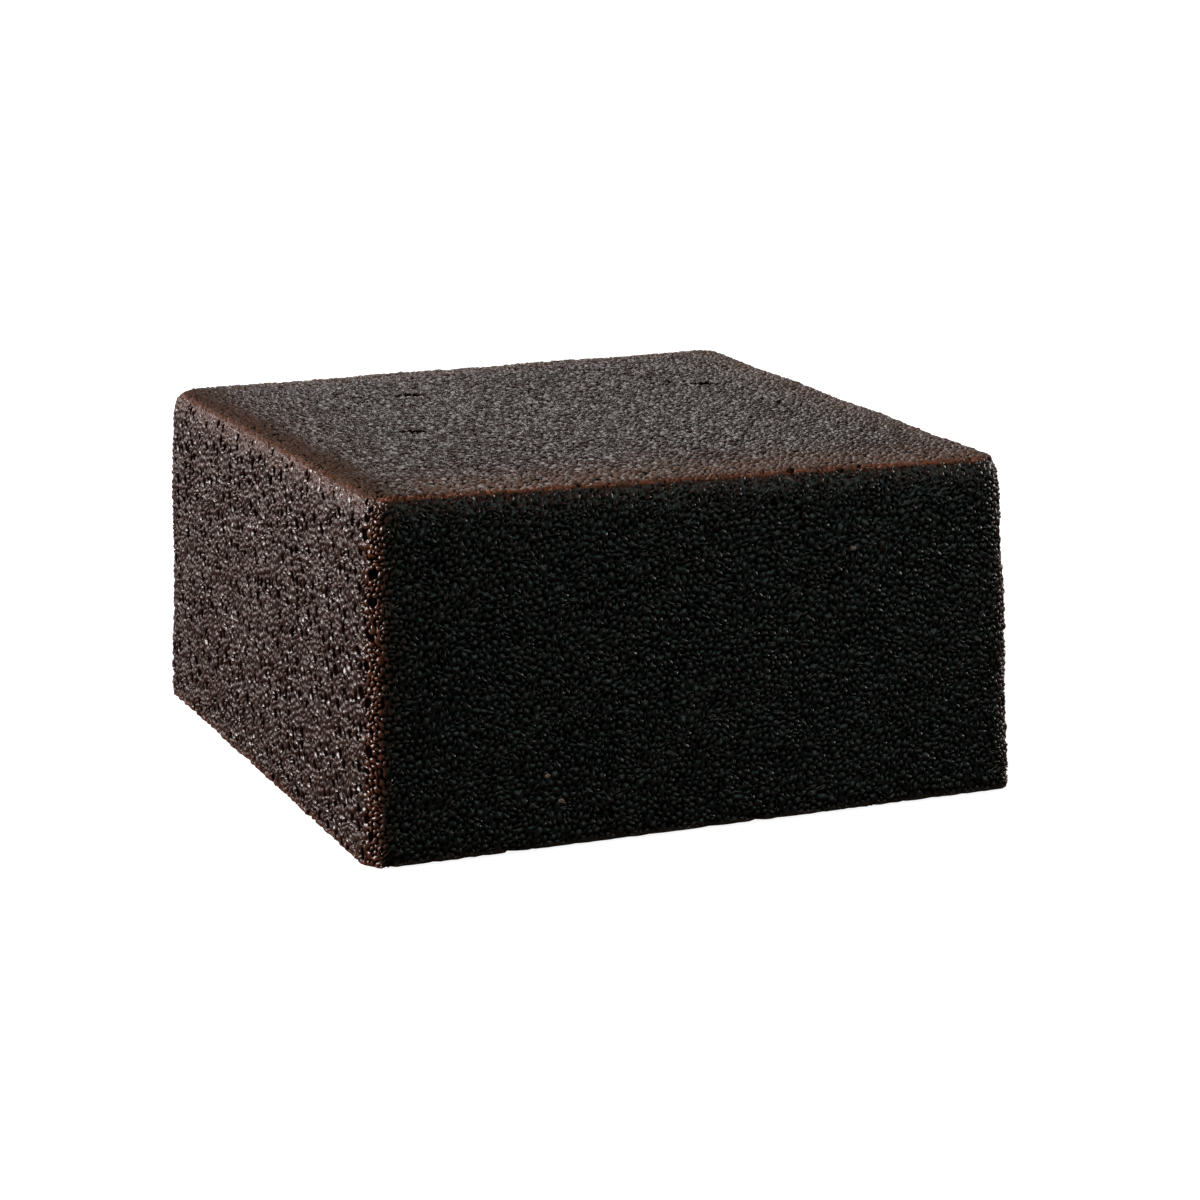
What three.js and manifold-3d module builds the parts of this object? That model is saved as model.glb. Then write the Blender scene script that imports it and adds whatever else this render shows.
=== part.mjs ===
import * as THREE from "three";
import { mergeGeometries, mergeVertices } from "three/addons/utils/BufferGeometryUtils.js";
import Module from "manifold-3d";

// A square, unfrosted chocolate mud cake, turned out of its tin and left whole: one dense block,
// a little wider at the foot than at the top, with rounded edges and an open, pitted crumb.
// Millimetres, +Z up. The origin is the middle of the underside and the front faces -Y.

// Block
const BASE_WIDTH = 200;
const BASE_DEPTH = 205;
const HEIGHT = 100;
const SIDE_ROUND = 6.5; // radius of the upright edges, and how far the top edges round over inwards
const TOP_ROUND = 1.5; // how far the top edges round over downwards
const TOP_POWER = 8; // how crisply the top meets its edge: 2 would be an ellipse
const SHOULDER = 1.8; // how far the sides draw in towards the top edges
const SHOULDER_HEIGHT = 10; // and how far below them they begin to

// How far each side leans in for each millimetre of height
const LEAN = { left: 0.027, right: 0.052, front: 0.027, back: 0.022 };

// Gentle unevenness of the baked block
const TOP_CROWN = 1.2; // how far the middle of the top stands above its edges
const CROWN_POWER = 8; // the higher this is, the nearer to the edges the top falls away
const CORNER_RISE = { nearLeft: 1.3, nearRight: -1.5, farLeft: -0.4, farRight: 1.5 }; // of the top
const FACE_WAVE = 0.35; // how far the sides wander in and out
const TOP_WAVE = 0.3; // how far the top wanders up and down
const WAVE_LENGTH = 61; // distance from one wave to the next

// Facets of the block
const FLAT_STEPS = 12; // across the flat of the top and of each side
const RISE_STEPS = 6; // up the flat of each side
const SHOULDER_STEPS = 3; // and on up to the rounded edge
const ROUND_STEPS = 3; // on each half of a rounded edge

// Pores: the largest holes of the crumb, one in each cell of a loose grid
const PORE_PITCH = 14; // size of a grid cell
const PORE_STRAY = 4; // how far a pore may lie from the middle of its cell
const PORE_RADIUS = { least: 1.1, most: 2.1 };
const PORE_DEPTH = 1.1; // depth of a pore against its radius at the skin
const PORE_SIDES = 6;
const PORE_EDGE_GAP = 5; // the lowest and outermost pores keep this far from the block's own edges
const PORE_SEED = 20;
const CUT_CLEAR = 0.6; // how far a hollow reaches out past the skin, so that it opens cleanly

// Cracks in the top skin, where a thin flake has lifted: place of the middle, length and turn
const CRACKS = [
  { x: -33, y: 48, length: 11, turn: -24 },
  { x: -54, y: -11, length: 10, turn: -23 },
  { x: 60, y: 33, length: 13, turn: -25 },
];
const CRACK_WIDTH = 1.8;
const CRACK_DEPTH = 1.3;
const CRACK_SIDES = 8;

const CRUMB = new THREE.MeshStandardMaterial({ color: 0x2a1711, roughness: 0.45, metalness: 0 });

const halfWidth = BASE_WIDTH / 2;
const halfDepth = BASE_DEPTH / 2;

const wasm = await Module();
wasm.setup();

// A repeatable stream of random numbers from 0 to 1.
function randomStream(seed) {
  let state = seed;
  return () => {
    state = (state + 0x6d2b79f5) | 0;
    let mixed = Math.imul(state ^ (state >>> 15), 1 | state);
    mixed = (mixed + Math.imul(mixed ^ (mixed >>> 7), 61 | mixed)) ^ mixed;
    return ((mixed ^ (mixed >>> 14)) >>> 0) / 2 ** 32;
  };
}

// Rounds the edges of the sharp block: the place of a point of its skin, and the way it faces there.
function roundedEdge(sharp) {
  const core = new THREE.Vector3(
    THREE.MathUtils.clamp(sharp.x, SIDE_ROUND - halfWidth, halfWidth - SIDE_ROUND),
    THREE.MathUtils.clamp(sharp.y, SIDE_ROUND - halfDepth, halfDepth - SIDE_ROUND),
    Math.min(sharp.z, HEIGHT - TOP_ROUND),
  );
  const radii = new THREE.Vector3(SIDE_ROUND, SIDE_ROUND, TOP_ROUND);
  const over = sharp.clone().sub(core).divide(radii);
  const facing = over.clone().normalize();
  const outward = Math.max(Math.abs(over.x), Math.abs(over.y));
  const reach = Math.max(outward, over.z);
  if (reach > 0) {
    const quarter = Math.PI / 4;
    const turn = outward < over.z ? 2 * quarter - (quarter * outward) / over.z : (quarter * over.z) / outward;
    const flat = Math.hypot(over.x, over.y) || 1;
    const out = (reach * Math.cos(turn) ** (2 / TOP_POWER)) / flat;
    over.set(over.x * out, over.y * out, reach * Math.sin(turn));
  }
  return { place: core.add(over.multiply(radii)), facing };
}

// Leans the sides in, draws in their shoulders, crowns and tilts the top and adds the waves. The underside stays flat and true.
function settled(place) {
  const { x, y, z } = place;
  const lift = z / HEIGHT;
  const turn = (2 * Math.PI) / WAVE_LENGTH;
  const shoulder = SHOULDER * Math.max(0, (z - HEIGHT) / SHOULDER_HEIGHT + 1) ** 2;
  const leanX = (x < 0 ? LEAN.left : LEAN.right) * z + shoulder;
  const leanY = (y < 0 ? LEAN.front : LEAN.back) * z + shoulder;
  const sway = FACE_WAVE * Math.sin(Math.PI * lift);
  const heave = TOP_WAVE * Math.sin(turn * x + 1) * Math.cos(turn * y);
  const across = (x / halfWidth + 1) / 2;
  const nearRise = THREE.MathUtils.lerp(CORNER_RISE.nearLeft, CORNER_RISE.nearRight, across);
  const farRise = THREE.MathUtils.lerp(CORNER_RISE.farLeft, CORNER_RISE.farRight, across);
  const tilt = THREE.MathUtils.lerp(nearRise, farRise, (y / halfDepth + 1) / 2);
  const crown = TOP_CROWN * (1 - (x / halfWidth) ** CROWN_POWER) * (1 - (y / halfDepth) ** CROWN_POWER);
  return new THREE.Vector3(
    x * (1 - leanX / halfWidth) + sway * Math.sin(turn * y + turn * z),
    y * (1 - leanY / halfDepth) + sway * Math.sin(turn * x - turn * z),
    z + (heave + tilt + crown) * lift * lift,
  );
}

// Spreads even steps from -1 to 1 so that a rounded edge has its own few and the flat has the rest.
function gridLine(step, half, round) {
  const steps = (Math.abs(step) * (FLAT_STEPS + 2 * ROUND_STEPS)) / 2;
  const flat = FLAT_STEPS / 2;
  const inFlat = (Math.min(steps, flat) / flat) * (half - round);
  const inRound = (Math.max(steps - flat, 0) / ROUND_STEPS) * round;
  return Math.sign(step) * (inFlat + inRound);
}

function riseLine(step) {
  const toShoulder = RISE_STEPS;
  const toRound = toShoulder + SHOULDER_STEPS;
  const steps = step * (toRound + ROUND_STEPS);
  const inFlat = (Math.min(steps, toShoulder) / RISE_STEPS) * (HEIGHT - SHOULDER_HEIGHT);
  const past = THREE.MathUtils.clamp(steps - toShoulder, 0, SHOULDER_STEPS);
  const inShoulder = (past / SHOULDER_STEPS) * (SHOULDER_HEIGHT - TOP_ROUND);
  const inRound = (Math.max(steps - toRound, 0) / ROUND_STEPS) * TOP_ROUND;
  return inFlat + inShoulder + inRound;
}

function solidOf(geometry) {
  geometry.deleteAttribute("normal");
  geometry.deleteAttribute("uv");
  const merged = mergeVertices(geometry);
  const vertProperties = new Float32Array(merged.getAttribute("position").array);
  const triVerts = new Uint32Array(merged.index.array);
  return new wasm.Manifold(new wasm.Mesh({ numProp: 3, vertProperties, triVerts }));
}

function block() {
  const across = FLAT_STEPS + 2 * ROUND_STEPS;
  const rise = RISE_STEPS + SHOULDER_STEPS + ROUND_STEPS;
  const geometry = new THREE.BoxGeometry(2, 2, 1, across, across, rise);
  const position = geometry.getAttribute("position");
  for (let i = 0; i < position.count; i++) {
    const sharp = new THREE.Vector3(
      gridLine(position.getX(i), halfWidth, SIDE_ROUND),
      gridLine(position.getY(i), halfDepth, SIDE_ROUND),
      riseLine(position.getZ(i) + 0.5),
    );
    const skin = settled(roundedEdge(sharp).place);
    position.setXYZ(i, skin.x, skin.y, skin.z);
  }
  return solidOf(geometry);
}

// Points of the sharp block's skin, one in each cell of the grid on the top and on the four sides.
function porePlaces(random) {
  const places = [];
  const stray = () => (2 * random() - 1) * PORE_STRAY;
  const cells = (length) => Math.floor((length - 2 * PORE_EDGE_GAP) / PORE_PITCH);
  const middle = (index, count) => (index - (count - 1) / 2) * PORE_PITCH;
  const columns = cells(BASE_WIDTH);
  const rows = cells(BASE_DEPTH);
  const courses = cells(HEIGHT);
  for (let i = 0; i < columns; i++) {
    for (let j = 0; j < rows; j++) {
      places.push(new THREE.Vector3(middle(i, columns) + stray(), middle(j, rows) + stray(), HEIGHT));
    }
  }
  for (let k = 0; k < courses; k++) {
    const level = HEIGHT / 2 + middle(k, courses);
    for (const side of [-1, 1]) {
      for (let i = 0; i < columns; i++) {
        places.push(new THREE.Vector3(middle(i, columns) + stray(), side * halfDepth, level + stray()));
      }
      for (let j = 0; j < rows; j++) {
        places.push(new THREE.Vector3(side * halfWidth, middle(j, rows) + stray(), level + stray()));
      }
    }
  }
  return places;
}

// A funnel that opens outwards, its point below the skin, turned at random about the way it faces.
function poreHollow(sharp, random) {
  const { place, facing } = roundedEdge(sharp);
  const radius = THREE.MathUtils.lerp(PORE_RADIUS.least, PORE_RADIUS.most, random() ** 2);
  const depth = radius * PORE_DEPTH;
  const length = depth + CUT_CLEAR;
  const geometry = new THREE.ConeGeometry((radius * length) / depth, length, PORE_SIDES);
  geometry.rotateY(random() * 2 * Math.PI);
  const wayOfMouth = new THREE.Vector3(0, -1, 0);
  geometry.applyQuaternion(new THREE.Quaternion().setFromUnitVectors(wayOfMouth, facing));
  const middle = settled(place).addScaledVector(facing, length / 2 - depth);
  return geometry.translate(middle.x, middle.y, middle.z);
}

function crackHollow(crack) {
  const geometry = new THREE.SphereGeometry(1, CRACK_SIDES, 2);
  geometry.rotateX(Math.PI / 2);
  geometry.scale(crack.length / 2, CRACK_WIDTH / 2, CRACK_DEPTH);
  geometry.rotateZ(THREE.MathUtils.degToRad(crack.turn));
  const skin = settled(new THREE.Vector3(crack.x, crack.y, HEIGHT));
  return geometry.translate(skin.x, skin.y, skin.z);
}

// Keeps pores off the cracks, so that every hollow is on its own.
function clearOfCracks(sharp) {
  const reach = (crack) => crack.length / 2 + PORE_RADIUS.most;
  return CRACKS.every((c) => sharp.distanceTo(new THREE.Vector3(c.x, c.y, HEIGHT)) > reach(c));
}

function hollows() {
  const random = randomStream(PORE_SEED);
  const open = porePlaces(random).filter(clearOfCracks);
  const pores = open.map((sharp) => poreHollow(sharp, random));
  return solidOf(mergeGeometries([...pores, ...CRACKS.map(crackHollow)]));
}

function meshOf(solid, name, material) {
  const { numProp, vertProperties, triVerts } = solid.getMesh();
  const geometry = new THREE.BufferGeometry();
  geometry.setAttribute("position", new THREE.BufferAttribute(new Float32Array(vertProperties), numProp));
  geometry.setIndex(new THREE.BufferAttribute(new Uint32Array(triVerts), 1));
  geometry.computeVertexNormals();
  const mesh = new THREE.Mesh(geometry, material);
  mesh.name = name;
  return mesh;
}

const mudCake = new THREE.Group();
mudCake.add(meshOf(block().subtract(hollows()), "cake", CRUMB));

export default mudCake;
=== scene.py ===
import math
import random

import bmesh
import bpy
from mathutils import Matrix, Vector


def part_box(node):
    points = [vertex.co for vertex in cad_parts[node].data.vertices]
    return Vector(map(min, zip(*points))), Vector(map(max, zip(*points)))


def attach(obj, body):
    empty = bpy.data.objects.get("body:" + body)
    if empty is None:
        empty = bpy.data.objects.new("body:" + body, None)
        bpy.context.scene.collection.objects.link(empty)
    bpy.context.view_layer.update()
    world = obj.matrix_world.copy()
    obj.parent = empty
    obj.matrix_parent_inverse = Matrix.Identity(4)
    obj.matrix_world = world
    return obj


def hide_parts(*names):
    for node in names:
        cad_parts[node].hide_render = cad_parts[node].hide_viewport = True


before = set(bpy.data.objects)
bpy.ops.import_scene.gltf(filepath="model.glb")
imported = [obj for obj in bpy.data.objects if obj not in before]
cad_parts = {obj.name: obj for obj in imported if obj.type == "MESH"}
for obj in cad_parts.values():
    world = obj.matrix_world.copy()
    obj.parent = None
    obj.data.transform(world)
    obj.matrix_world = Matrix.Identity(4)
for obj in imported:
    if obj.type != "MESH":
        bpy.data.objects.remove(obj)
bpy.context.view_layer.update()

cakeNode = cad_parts["cake"]
lowCorner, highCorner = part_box("cake")
scene = bpy.context.scene


def placed(name, data):
    thing = bpy.data.objects.new(name, data)
    scene.collection.objects.link(thing)
    return thing


def shapeOf(mesh):
    shape = bmesh.new()
    shape.from_mesh(mesh)
    return shape


def meshFrom(shape, name):
    mesh = bpy.data.meshes.new(name)
    shape.to_mesh(mesh)
    shape.free()
    return mesh


# Camera, at the photograph's viewing angle
view = {
    "eye": (-0.3519, -0.8621, 0.2658),  # where the lens stands
    "turn": -22.8,  # degrees, round the upright axis
    "tilt": 13.45,  # degrees, down from level
    "lens": 93.5,  # mm
    "sensor": 36,  # mm across
    "reach": 50,  # as far as the camera sees
}


def makeCamera():
    lens = bpy.data.cameras.new("camera")
    lens.sensor_width = view["sensor"]
    lens.lens = view["lens"]
    lens.clip_end = view["reach"]
    camera = placed("camera", lens)
    camera.location = view["eye"]
    camera.rotation_euler = (math.radians(90 - view["tilt"]), 0, math.radians(view["turn"]))
    scene.camera = camera
    print("camera: lens", view["lens"], "mm")


# Shader maths: a wire is a socket, and sums on wires add the nodes that work them out
class Wire:
    def __init__(self, tree, socket=None):
        self.tree = tree
        self.socket = socket

    def add(self, kind, settings=None, values=None):
        node = self.tree.nodes.new(kind)
        for name, value in (settings or {}).items():
            setattr(node, name, value)
        for name, value in (values or {}).items():
            if isinstance(value, Wire):
                self.tree.links.new(value.socket, node.inputs[name])
            else:
                node.inputs[name].default_value = value
        return NodeWires(self.tree, node)

    def maths(self, operation, first, second):
        return self.add("ShaderNodeMath", {"operation": operation}, {0: first, 1: second}).out()

    def __add__(self, other):
        return self.maths("ADD", self, other)

    __radd__ = __add__

    def __sub__(self, other):
        return self.maths("SUBTRACT", self, other)

    def __rsub__(self, other):
        return self.maths("SUBTRACT", other, self)

    def __mul__(self, other):
        return self.maths("MULTIPLY", self, other)

    __rmul__ = __mul__


class NodeWires:
    def __init__(self, tree, node):
        self.tree = tree
        self.node = node

    def out(self, name=0):
        return Wire(self.tree, self.node.outputs[name])


mixSockets = {"factor": 0, "first": 6, "second": 7, "result": 2}  # those of a Mix node that take colours


def newTree(owner):
    owner.use_nodes = True
    owner.node_tree.nodes.clear()
    return Wire(owner.node_tree)


def mixColours(start, factor, first, second, blend="MIX"):
    settings = {"data_type": "RGBA", "blend_type": blend}
    values = {mixSockets["factor"]: factor, mixSockets["first"]: first, mixSockets["second"]: second}
    return start.add("ShaderNodeMix", settings, values).out(mixSockets["result"])


def smoothStep(start, value, low, high):
    settings = {"interpolation_type": "SMOOTHSTEP"}
    values = {"Value": value, "From Min": low, "From Max": high}
    return start.add("ShaderNodeMapRange", settings, values).out()


def axisOf(start, vector, axis):
    return start.add("ShaderNodeSeparateXYZ", {}, {0: vector}).out(axis)


def attribute(start, name):
    return start.add("ShaderNodeAttribute", {"attribute_name": name}).out("Fac")


def principled(start, values):
    return start.add("ShaderNodeBsdfPrincipled", {}, values).out()


# Crumb: the block's skin broken up into round beads, with gaps and open pores between them that carry painted
# shade
regions = ("cakeLeft", "cakeRight", "cakeFront", "cakeBack", "cakeTop")
onLeft, onRight, onFront, onBack, onTop = range(len(regions))
beadTop = 1  # the role of the point in the middle of a bead
crumb = {
    "pitch": 0.00192,  # from one bead to the next
    "stray": 0.6,  # how far a bead may wander, against the pitch
    "flatFoot": 0.0011,  # below this the crumb is pressed flat
    "edgeLevel": 0.1,  # height of the top edges
    "cornerRise": (0.0013, -0.0015, -0.0004, 0.0015),  # of the near left, near right, far left and far right
    "lean": (0.027, 0.052, 0.027, 0.022),  # of the left, right, front and back sides
    "seam": 0.0009,  # the top skin ends this far below the top edges
    "leftSeam": 0.0004,  # and this far along the left one
    "shadeDepth": 0.0008,  # painted shade: this far below the block a gap is painted dark, where shade falls
    "heart": (0, 0, 0.05),  # the hidden faces of all pieces meet here
    "hair": 1e-6,  # less than this is no distance
    "seed": 7,
}
sideCrumb = {
    "rise": (-0.00015, 0.00035),  # how far a bead stands up from the block
    "round": (0.0, 0.00035),  # how far its shoulders lie below its top
    "saddle": (-0.00005, -0.0005),  # the narrow gap between two beads
    "knot": (-0.0003, -0.0014),  # the wide gap between three
    "pore": (-0.0009, -0.0015),  # the bottom of an open pore
}
topCrumb = {
    "rise": (-0.0001, 0.00025),
    "round": (0.00003, 0.0001),
    "saddle": (-0.00005, -0.0003),
    "knot": (-0.0003, -0.0009),
    "pore": (-0.0004, -0.0006),
}
openPores = {
    "odds": (0.22, 0.2, 0, 0.1, 0.03),  # that a bead is missing in each region, if none beside it is
    "collarLoss": 0.9,  # how many fewer there are in the collar
    "wall": 0.8,  # depth of a pore's wall, against its bottom
}
# Redder, lighter crumb along the edges: partly a browner crust, partly painted light where the edges catch
# the lamps
rims = {
    "lip": 0.0008,  # the redder, lighter lip, partly painted light, lies this far below the top edges
    "lipWidth": 0.0005,
    "lipReach": (0.003, 0.001),  # how far in from the sides it goes, and how it fades
    "lipTintAndLight": (0.05, 0.45, 1, 0.45),  # how red and light it is on the left, right, front and back; how much lighter one side is than another is painted light
    "lipClosed": (0.1, 0.6, 0.6, 0.6),  # how much shallower its gaps are there
    "collar": 0.004,  # the crumb is more closed and a little redder and lighter, as painted light, this far below the lip
    "collarClosed": 0.45,
    "collarShare": 0.14,
    "upright": 0.003,  # the redder, lighter crumb of the upright edges, partly painted light
    "uprightMiddle": 0.001,
    "uprightShare": 0.48,
    "openness": 0.8,  # how much deeper its gaps are
    "foot": 0.0015,  # the redder crumb of the foot
    "footReach": 0.005,  # how far in from the sides it goes
    "footShare": 0.24,
    "mottle": (0.4, 1.4),  # how uneven the red is
}
paintedBorder = {  # painted light and shade on the border of the top: browner and without sheen along the left, where the top curves down, and paler along the other sides
    "left": (0.0125, 0.9),  # its width and strength along the left
    "leftEnd": 4,  # how sharply it ends there
    "front": (0.02, 0.52),
    "around": (0.014, 0.36),
    "mottle": (0.6, 1.4),  # how uneven it is
    "leftDrop": (0.001, 0.0018),  # how far down over the left edge it runs, and where it has faded out
    "leftMottle": 0.003,  # this near to the left edge it is patchy
    "leftPatches": 0.8,  # how much of it is missing there at most
    "closing": 0.005,  # its crumb is more closed this far in, but not along the left
    "closed": 0.6,
}
flakes = {  # thin flakes of the top skin that have lifted along a crack
    "places": ((-0.033, 0.049), (-0.054, -0.012), (0.060, 0.034)),
    "lengths": (0.011, 0.010, 0.013),
    "turn": -24,  # degrees, the way a crack runs
    "lift": 0.0005,
    "reach": 0.004,  # how far back a flake has come up
    "gap": 0.0006,  # depth of the crack before it
    "gapWidth": 0.0009,
    "shade": 0.0007,  # how far the painted shade of the crack spreads, standing for the shadow under the flake
    "lowest": 0.09,  # there are none below this height
}


def applyModifiers(piece):
    graph = bpy.context.evaluated_depsgraph_get()
    mesh = bpy.data.meshes.new_from_object(piece.evaluated_get(graph))
    piece.modifiers.clear()
    piece.data = mesh


def evenSkin():
    shape = shapeOf(cakeNode.data)
    bmesh.ops.remove_doubles(shape, verts=shape.verts, dist=crumb["hair"])
    piece = placed("cakeCrumb", meshFrom(shape, "cakeCrumb"))
    remesh = piece.modifiers.new("even", "REMESH")
    remesh.mode = "VOXEL"
    remesh.voxel_size = crumb["pitch"]
    applyModifiers(piece)
    return piece


def scatterBeads(piece, draw):
    shape = shapeOf(piece.data)
    bmesh.ops.triangulate(shape, faces=shape.faces)
    shape.normal_update()
    reach = crumb["stray"] * crumb["pitch"]
    for vert in shape.verts:
        step = Vector((draw.uniform(-1, 1), draw.uniform(-1, 1), draw.uniform(-1, 1))) * reach
        vert.co += step - vert.normal * step.dot(vert.normal)
    bmesh.ops.beautify_fill(shape, faces=shape.faces, edges=shape.edges, method="ANGLE")
    shape.to_mesh(piece.data)
    shape.free()


def cellsFromTriangles(piece):
    group = bpy.data.node_groups.new("cells", "GeometryNodeTree")
    group.interface.new_socket("Geometry", in_out="INPUT", socket_type="NodeSocketGeometry")
    group.interface.new_socket("Geometry", in_out="OUTPUT", socket_type="NodeSocketGeometry")
    start = group.nodes.new("NodeGroupInput")
    dual = group.nodes.new("GeometryNodeDualMesh")
    end = group.nodes.new("NodeGroupOutput")
    group.links.new(start.outputs[0], dual.inputs[0])
    group.links.new(dual.outputs[0], end.inputs[0])
    cells = piece.modifiers.new("cells", "NODES")
    cells.node_group = group
    applyModifiers(piece)


def bell(distance, width):
    return math.exp(-(max(distance, 0) / width) ** 2)


def between(first, second, share):
    return first + (second - first) * share


# How far in a place lies from the left, right, front and back sides
def sideInsets(place):
    left, right, front, back = (lean * place[2] for lean in crumb["lean"])
    fromLeft = place[0] - lowCorner[0] - left
    fromRight = highCorner[0] - right - place[0]
    fromFront = place[1] - lowCorner[1] - front
    fromBack = highCorner[1] - back - place[1]
    return fromLeft, fromRight, fromFront, fromBack


def insets(place):
    left, right, front, back = sideInsets(place)
    return min(left, right), min(front, back)


def belowTop(place):
    nearLeft, nearRight, farLeft, farRight = crumb["cornerRise"]
    across = (place[0] / highCorner[0] + 1) / 2
    along = (place[1] / highCorner[1] + 1) / 2
    rise = between(between(nearLeft, nearRight, across), between(farLeft, farRight, across), along)
    return crumb["edgeLevel"] + rise - place[2]


def sideAt(place):
    across, along = insets(place)
    if across < along:
        return onLeft if place[0] < 0 else onRight
    return onFront if place[1] < 0 else onBack


def regionAt(place):
    side = sideAt(place)
    seam = crumb["leftSeam" if side == onLeft else "seam"]
    return onTop if belowTop(place) < seam else side


def crumbOf(region):
    return topCrumb if region == onTop else sideCrumb


def uprightEdge(place):
    return bell(max(insets(place)) - rims["uprightMiddle"], rims["upright"])


def closedCollar(place):
    return bell(belowTop(place) - crumb["seam"], rims["collar"]) if regionAt(place) != onTop else 0


def lipShare(place):
    reach, fade = rims["lipReach"]
    lip = bell(abs(belowTop(place) - rims["lip"]), rims["lipWidth"])
    return lip * bell(min(insets(place)) - reach, fade)


# How much of the rim colour a place takes: partly browner crust, partly painted light along the edges
def rimTintAndLightAt(place):
    lip = lipShare(place) * rims["lipTintAndLight"][sideAt(place)]
    upright = rims["uprightShare"] * uprightEdge(place)
    foot = rims["footShare"] * bell(place[2], rims["foot"]) * bell(min(insets(place)), rims["footReach"])
    return max(lip, upright, foot, rims["collarShare"] * closedCollar(place))


def gapScale(place):
    side = sideAt(place)
    wider = rims["openness"] * uprightEdge(place)
    closed = max(rims["collarClosed"] * closedCollar(place), rims["lipClosed"][side] * lipShare(place))
    if regionAt(place) == onTop and side != onLeft:
        closed = max(closed, paintedBorder["closed"] * bell(min(insets(place)), paintedBorder["closing"]))
    return 1 + wider - closed


# Share of the painted border at a place: painted shade along the left of the top, painted light along the
# other sides
def paintedSkirtAt(place, mottle):
    if regionAt(place) != onTop and sideAt(place) != onLeft:
        return 0
    sides = sideInsets(place)
    full, none = paintedBorder["leftDrop"]
    drop = min(1, max(0, (none - belowTop(place)) / (none - full)))
    low, high = paintedBorder["mottle"]
    nearest = bell(sides[onLeft], paintedBorder["leftMottle"])
    patchy = 1 - nearest * paintedBorder["leftPatches"] * (high - mottle) / (high - low)
    width, strength = paintedBorder["left"]
    beside = strength * patchy * math.exp(-(sides[onLeft] / width) ** paintedBorder["leftEnd"])
    width, strength = paintedBorder["front"]
    before = strength * bell(sides[onFront], width)
    width, strength = paintedBorder["around"]
    around = strength * bell(min(sides), width)
    return drop * max(beside, mottle * max(before, around))


def flakeAt(place):
    lift = 0
    shade = 0
    turn = math.radians(flakes["turn"])
    for middle, length in zip(flakes["places"], flakes["lengths"]):
        aside = place[0] - middle[0], place[1] - middle[1]
        along = aside[0] * math.cos(turn) + aside[1] * math.sin(turn)
        back = aside[1] * math.cos(turn) - aside[0] * math.sin(turn)
        body = max(0, 1 - (2 * along / length) ** 2)
        raised = flakes["lift"] * math.exp(-max(back, 0) / flakes["reach"])
        lift += body * (raised if back > 0 else -flakes["gap"] * bell(-back, flakes["gapWidth"]))
        # painted shade: the crack before each flake is darkened, as if in the flake's shadow
        shade += body * bell(abs(back), flakes["shade"])
    return lift, shade


def pressFoot(shape):
    under = [f for f in shape.faces if all(v.co.z < crumb["flatFoot"] for v in f.verts)]
    for vert in {v for f in under for v in f.verts}:
        vert.co.z = 0
    bmesh.ops.dissolve_faces(shape, faces=under, use_verts=True)
    return max(shape.faces, key=lambda f: f.calc_area())


def choosePores(beads, draw):
    order = list(beads)
    draw.shuffle(order)
    pores = set()
    for bead in order:
        place = bead.calc_center_median()
        odds = openPores["odds"][regionAt(place)] * (1 - openPores["collarLoss"] * closedCollar(place))
        beside = [f for e in bead.edges for f in e.link_faces if f is not bead]
        if draw.random() < odds and not any(f in pores for f in beside):
            pores.add(bead)
    return pores


def splits(edge, foot, region, role):
    if any(f is foot for f in edge.link_faces):
        return False
    inBead = any(v[role] == beadTop for v in edge.verts)
    return inBead or any(f[region] != onTop for f in edge.link_faces)


def pokeBeads(shape, foot, draw):
    region = shape.faces.layers.int["region"]
    role = shape.verts.layers.float["role"]
    missing = shape.faces.layers.int["missing"]
    beads = [f for f in shape.faces if f is not foot]
    pores = choosePores(beads, draw)
    for bead in beads:
        bead[region] = regionAt(bead.calc_center_median())
        bead[missing] = int(bead in pores)
    for top in bmesh.ops.poke(shape, faces=beads, center_mode="MEAN")["verts"]:
        top[role] = beadTop
    edges = [e for e in shape.edges if splits(e, foot, region, role)]
    made = bmesh.ops.subdivide_edges(shape, edges=edges, cuts=1, use_grid_fill=True)["geom_inner"]
    shape.normal_update()
    return {g for g in made if isinstance(g, bmesh.types.BMVert)}


def beadHeights(shape, midways, draw):
    region = shape.faces.layers.int["region"]
    role = shape.verts.layers.float["role"]
    missing = shape.faces.layers.int["missing"]
    heights = {}
    for top in [v for v in shape.verts if v[role] == beadTop]:
        kind = crumbOf(top.link_faces[0][region])
        pore = top.link_faces[0][missing]
        rise = draw.uniform(*kind["pore" if pore else "rise"])
        heights[top] = rise
        for edge in top.link_edges:
            fall = draw.uniform(*kind["round"])
            heights[edge.other_vert(top)] = rise * openPores["wall"] if pore else rise - fall
    for vert in shape.verts:
        if vert not in heights:
            kind = crumbOf(min(f[region] for f in vert.link_faces))
            gap = "saddle" if vert in midways else "knot"
            if any(f[missing] for f in vert.link_faces):
                gap = "pore"
            heights[vert] = draw.uniform(*kind[gap]) * gapScale(vert.co)
    return heights


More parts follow.
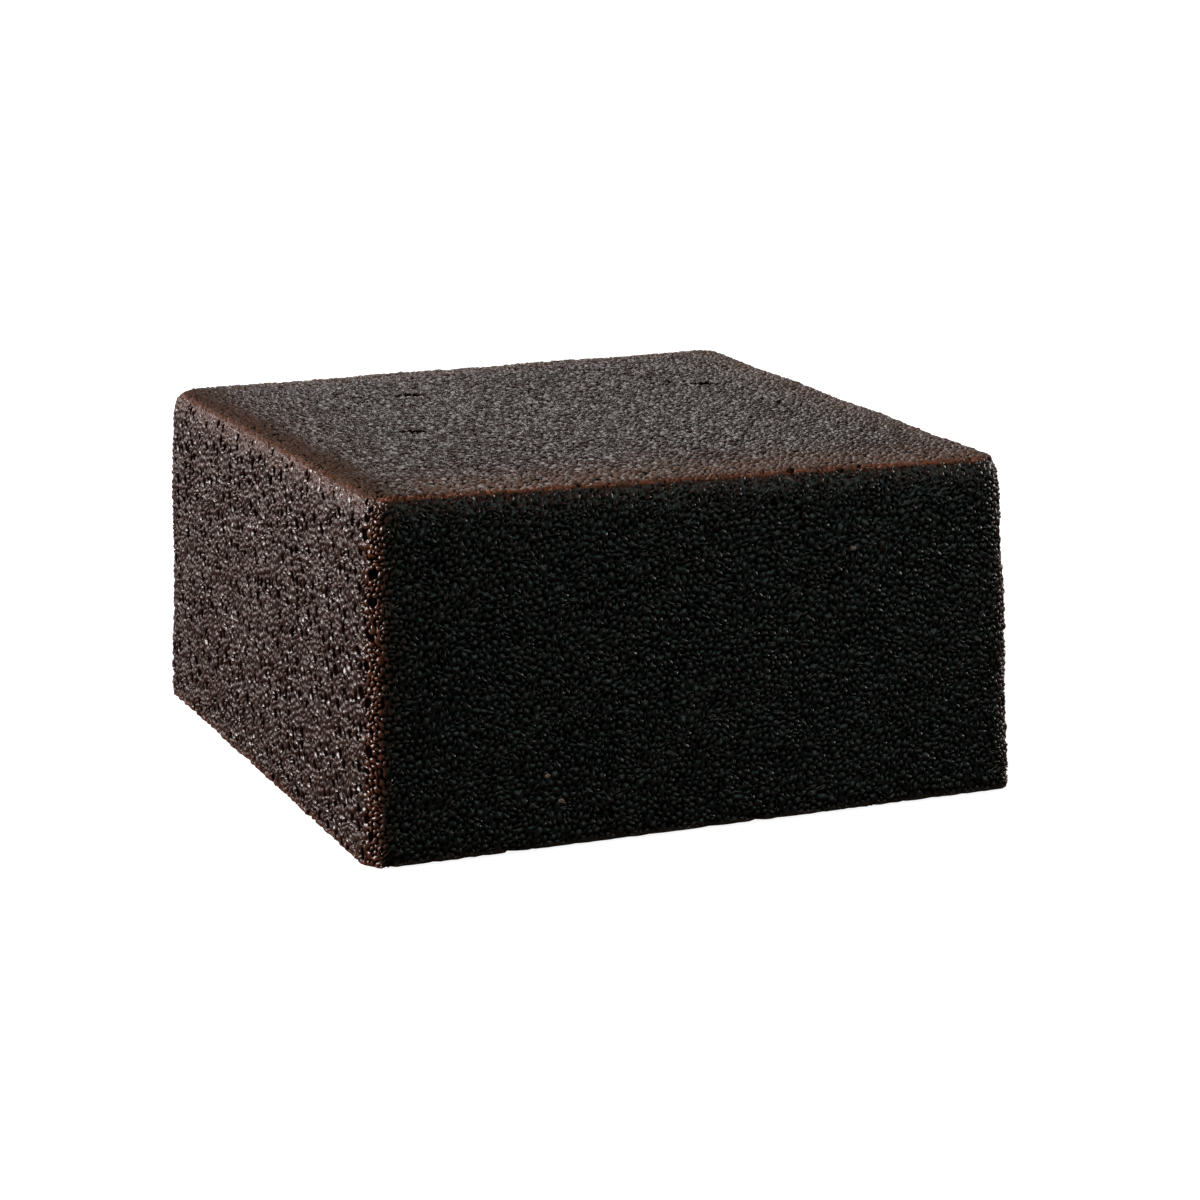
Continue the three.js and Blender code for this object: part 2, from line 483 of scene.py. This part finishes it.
def raiseBeads(piece, draw):
    shape = shapeOf(piece.data)
    for name in ("role", "depthShade", "rimTintAndLight", "paintedSkirt"):
        shape.verts.layers.float.new(name)
    for name in ("region", "missing"):
        shape.faces.layers.int.new(name)
    foot = pressFoot(shape)
    midways = pokeBeads(shape, foot, draw)
    heights = beadHeights(shape, midways, draw)
    depthShade, rimTintAndLight, paintedSkirt = (shape.verts.layers.float[name] for name in ("depthShade", "rimTintAndLight", "paintedSkirt"))
    for vert in shape.verts:
        place = vert.co.copy()
        lift = heights[vert] if place.z > crumb["hair"] else 0
        flake, shade = flakeAt(place) if place.z > flakes["lowest"] else (0, 0)
        lift += flake
        # painted shade: this mask darkens the gaps by their depth, and the cracks before the flakes
        vert[depthShade] = 1 - shade + lift / crumb["shadeDepth"]
        vert[rimTintAndLight] = min(1, rimTintAndLightAt(place) * draw.uniform(*rims["mottle"]))
        vert[paintedSkirt] = paintedSkirtAt(place, draw.uniform(*paintedBorder["mottle"]))
        vert.co = place + vert.normal * lift
        vert.co.z = max(vert.co.z, 0)
    for face in shape.faces:
        face.smooth = True
    shape.to_mesh(piece.data)
    print("crumb:", len(shape.faces), "faces")
    shape.free()


def partOfCrumb(whole, index):
    shape = shapeOf(whole.data)
    region = shape.faces.layers.int["region"]
    bmesh.ops.delete(shape, geom=[f for f in shape.faces if f[region] != index], context="FACES")
    edges = [e for e in shape.edges if e.is_boundary]
    for edge in edges:
        edge.smooth = False
    lid = bmesh.ops.extrude_edge_only(shape, edges=edges)["geom"]
    inner = [g for g in lid if isinstance(g, bmesh.types.BMVert)]
    bmesh.ops.pointmerge(shape, verts=inner, merge_co=crumb["heart"])
    bmesh.ops.recalc_face_normals(shape, faces=shape.faces)
    bmesh.ops.triangulate(shape, faces=shape.faces)
    odd = sum(not e.is_manifold for e in shape.edges)
    print(regions[index] + ":", len(shape.faces), "triangles,", odd, "odd edges")
    return placed(regions[index], meshFrom(shape, regions[index]))


def makeCrumb():
    draw = random.Random(crumb["seed"])
    whole = evenSkin()
    scatterBeads(whole, draw)
    cellsFromTriangles(whole)
    raiseBeads(whole, draw)
    parts = [partOfCrumb(whole, index) for index in range(len(regions))]
    bpy.data.objects.remove(whole)
    return parts


# Flecks: the few pale crumbs that stick to the front
flecks = {
    "places": ((0.0457, 0.076), (-0.048, 0.0205), (-0.044, 0.013)),  # across, and up from the foot
    "radius": 0.0007,
    "stretch": (1.3, 0.6, 1),  # across, in depth and up
    "roundness": 2,  # how often its faces are split
    "colour": (0.30, 0.17, 0.14, 1),
    "roughness": 0.5,
}


def makeFlecks():
    shape = bmesh.new()
    stretch = Matrix.Diagonal((*flecks["stretch"], 1))
    for across, level in flecks["places"]:
        depth = lowCorner[1] + crumb["lean"][onFront] * level
        place = Matrix.Translation((across, depth, level)) @ stretch
        bmesh.ops.create_icosphere(
            shape, subdivisions=flecks["roundness"], radius=flecks["radius"], matrix=place
        )
    mesh = meshFrom(shape, "flecks")
    material = bpy.data.materials.new("paleCrumb")
    start = newTree(material)
    shader = principled(start, {"Base Color": flecks["colour"], "Roughness": flecks["roughness"]})
    start.add("ShaderNodeOutputMaterial", {}, {"Surface": shader})
    mesh.materials.append(material)
    print("flecks:", len(flecks["places"]))
    return placed("flecks", mesh)


# Finish of the crumb, with painted shade in its gaps and painted light and shade along its edges and the
# border of the top
moist = {
    "bead": (0.0175, 0.0072, 0.0046, 1),  # the beads of the crumb
    "beadRoughness": 0.22,
    "beadBend": 1.45,  # how much their moist skin bends light
    "rimTintAndLight": (0.17, 0.052, 0.024, 1),  # the beads along the edges: a browner crust, lightened as painted light where the edges catch the lamps
    "pore": (0.002, 0.001, 0.0008, 1),  # painted shade: the near-black colour put in the gaps and pores between the beads, where shade falls
    "poreShadeRoughness": 0.8,
    "poreShadeGloss": 0.0,
    "poreShadeEdge": (0.35, 0.85),  # the depth at which a gap is wholly in painted shade, and from which a bead shows its own finish
    "paintedSkirt": (0.046, 0.0238, 0.015, 1),  # painted shade: the browner, sheenless border of the top along the left, where it curves down
    "paintedLitSkirt": (0.165, 0.096, 0.067, 1),  # painted light: the paler border of the top elsewhere
    "skirtTurn": (-0.088, -0.072),  # where the one turns into the other
    "skirtRoughness": 0.45,
    "skirtGloss": 0.006,
    "grain": 1300,  # fine grain for each metre
    "grainDetail": 1.0,
    "grainHeight": 0.00009,
    "topGrain": 0.15,  # how much of it the top has
    "topFacing": (0.5, 0.9),  # how far up a face looks from where the top's grain begins
}


def crumbFinish():
    material = bpy.data.materials.new("moistCrumb")
    start = newTree(material)
    depthShade, rimTintAndLight, paintedSkirt = (attribute(start, name) for name in ("depthShade", "rimTintAndLight", "paintedSkirt"))
    place = start.add("ShaderNodeTexCoord").out("Object")
    noise = {"Vector": place, "Scale": moist["grain"], "Detail": moist["grainDetail"]}
    grain = start.add("ShaderNodeTexNoise", {}, noise).out("Fac")
    facing = start.add("ShaderNodeNewGeometry").out("Normal")
    level = smoothStep(start, axisOf(start, facing, "Z"), *moist["topFacing"])
    height = grain * moist["grainHeight"] * (1 - (1 - moist["topGrain"]) * level)
    bump = start.add("ShaderNodeBump", {}, {"Height": height, "Distance": 1.0, "Strength": 1.0}).out("Normal")
    turned = smoothStep(start, axisOf(start, place, "X"), *moist["skirtTurn"])
    border = mixColours(start, turned, moist["paintedSkirt"], moist["paintedLitSkirt"])
    lit = {
        "Base Color": mixColours(start, rimTintAndLight, moist["bead"], moist["rimTintAndLight"]),
        "Roughness": moist["beadRoughness"],
        "Normal": bump,
        "IOR": moist["beadBend"],
    }
    # painted shade: a sheenless copy of the bead finish, for the border of the top
    sheenlessSkirt = {
        "Base Color": mixColours(start, rimTintAndLight, border, moist["rimTintAndLight"]),
        "Roughness": moist["skirtRoughness"],
        "Normal": bump,
        "Specular IOR Level": moist["skirtGloss"],
    }
    # painted shade: a near-black, glossless shader put in the deep gaps and pores
    paintedShade = {
        "Base Color": moist["pore"],
        "Roughness": moist["poreShadeRoughness"],
        "Specular IOR Level": moist["poreShadeGloss"],
    }
    shaders = {0: paintedSkirt, 1: principled(start, lit), 2: principled(start, sheenlessSkirt)}
    crust = start.add("ShaderNodeMixShader", {}, shaders).out()
    shaders = {0: smoothStep(start, depthShade, *moist["poreShadeEdge"]), 1: principled(start, paintedShade), 2: crust}
    surface = start.add("ShaderNodeMixShader", {}, shaders).out()
    start.add("ShaderNodeOutputMaterial", {}, {"Surface": surface})
    print("finish:", material.name)
    return material


# Floor: pale and plain, with a light of its own
paleFloor = {
    "size": 12.0,
    "drop": 0.0005,  # how far it lies below the foot of the cake
    "colour": (0.3, 0.3, 0.3, 1),
    "roughness": 0.9,
    "nearGlow": 0.9,  # its light beside the cake, and 1 further off
    "nearReach": (0.1, 0.6),
}


def makeFloor():
    shape = bmesh.new()
    bmesh.ops.create_grid(shape, x_segments=1, y_segments=1, size=paleFloor["size"] / 2)
    mesh = meshFrom(shape, "floor")
    floor = placed("floor", mesh)
    floor.location.z = -paleFloor["drop"]
    material = bpy.data.materials.new("paleFloor")
    start = newTree(material)
    place = start.add("ShaderNodeTexCoord").out("Object")
    reach = start.add("ShaderNodeVectorMath", {"operation": "LENGTH"}, {0: place}).out("Value")
    far = smoothStep(start, reach, *paleFloor["nearReach"])
    values = {
        "Base Color": paleFloor["colour"],
        "Roughness": paleFloor["roughness"],
        "Emission Color": paleFloor["nearGlow"] + (1 - paleFloor["nearGlow"]) * far,
        "Emission Strength": 1.0,
    }
    start.add("ShaderNodeOutputMaterial", {}, {"Surface": principled(start, values)})
    mesh.materials.append(material)
    floor.visible_diffuse = False
    floor.visible_glossy = False
    print("floor:", paleFloor["size"], "m")


# Room: a bright backdrop behind the cake, and a dim side before it
room = {
    "brightWay": (-0.1, 1, 0),  # the way to the middle of the backdrop
    "backdrop": (0.43, 0.413, 0.407, 1),
    "backdropEdge": (-0.15, 0.55),  # how it fades out towards the sides
    "backdropFoot": (-0.55, 0.1),  # and downwards
    "backdropTop": (0.4, 0.95),  # and upwards
    "glowWay": (-0.45, 0.89, 0),  # the way to its brightest part
    "glow": (1.74, 1.44, 1.39, 1),
    "glowEdge": (0.8, 0.97),
    "glowFoot": (-0.16, 0.06),
    "glowTop": (0.25, 0.5),
    "front": (0.04, 0.079, 0.075, 1),  # the dim side, over the floor
    "frontEdge": (0.1, -0.4),
    "frontFoot": (-0.8, -0.4),
    "unlit": (0, 0, 0, 1),
    "seen": (1, 1, 1, 1),  # what shows past the floor
}
lampAim = (0, 0, 0.05)
lamps = {  # place, size, watts and colour
    "leftBox": ((-1.35, 0.05, 0.65), (0.7, 0.7), 40, (1, 0.95, 0.93)),
    "lowBox": ((-1.2, 0.55, 0.3), (0.4, 0.5), 3, (1, 0.9, 0.87)),
    "edgeBox": ((-1.3, -0.07, 0.25), (0.15, 0.4), 1.8, (1, 0.9, 0.86)),
    "frontBox": ((0.57, -1.35, 0.35), (0.8, 0.45), 1.4, (0.65, 1, 0.97)),
    "highBox": ((0.49, -0.98, 0.78), (0.2, 0.2), 0.6, (1, 0.9, 0.87)),
    "backBox": ((0.35, 1.0, 1.05), (0.5, 0.5), 3, (1, 0.96, 0.94)),
    "rightBox": ((1.25, -0.1, 0.4), (0.6, 0.6), 9, (1, 0.95, 0.93)),
}


def softPatch(start, towards, rise, name):
    edge = smoothStep(start, towards, *room[name + "Edge"])
    foot = smoothStep(start, rise, *room[name + "Foot"])
    top = smoothStep(start, rise, *room[name + "Top"])
    return edge * foot * (1 - top)


def makeRoom():
    world = bpy.data.worlds.new("studio")
    scene.world = world
    start = newTree(world)
    way = start.add("ShaderNodeTexCoord").out("Generated")
    seen = start.add("ShaderNodeLightPath").out("Is Camera Ray")
    rise = axisOf(start, way, "Z")
    dot = {"operation": "DOT_PRODUCT"}
    bright = start.add("ShaderNodeVectorMath", dot, {0: way, 1: room["brightWay"]}).out("Value")
    glowing = start.add("ShaderNodeVectorMath", dot, {0: way, 1: room["glowWay"]}).out("Value")
    dim = smoothStep(start, bright, *room["frontEdge"]) * smoothStep(start, rise, *room["frontFoot"])
    light = mixColours(start, dim, room["unlit"], room["front"])
    light = mixColours(start, softPatch(start, bright, rise, "backdrop"), light, room["backdrop"])
    light = mixColours(start, softPatch(start, glowing, rise, "glow"), light, room["glow"], "ADD")
    sky = start.add("ShaderNodeBackground", {}, {"Color": mixColours(start, seen, light, room["seen"])})
    start.add("ShaderNodeOutputWorld", {}, {"Surface": sky.out()})
    scene.view_settings.view_transform = "Standard"
    scene.view_settings.look = "None"


def makeLamps():
    for name, (place, size, power, colour) in lamps.items():
        lamp = bpy.data.lights.new(name, "AREA")
        lamp.shape = "RECTANGLE"
        lamp.size, lamp.size_y = size
        lamp.energy = power
        lamp.color = colour
        light = placed(name, lamp)
        light.location = place
        light.rotation_euler = (Vector(lampAim) - Vector(place)).to_track_quat("-Z", "Y").to_euler()
    print("light:", len(lamps), "lamps")


makeCamera()
makeRoom()
makeLamps()
makeFloor()
finish = crumbFinish()
parts = makeCrumb()
for part in parts:
    part.data.materials.append(finish)
for part in parts + [makeFlecks()]:
    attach(part, "root")
    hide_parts("cake")
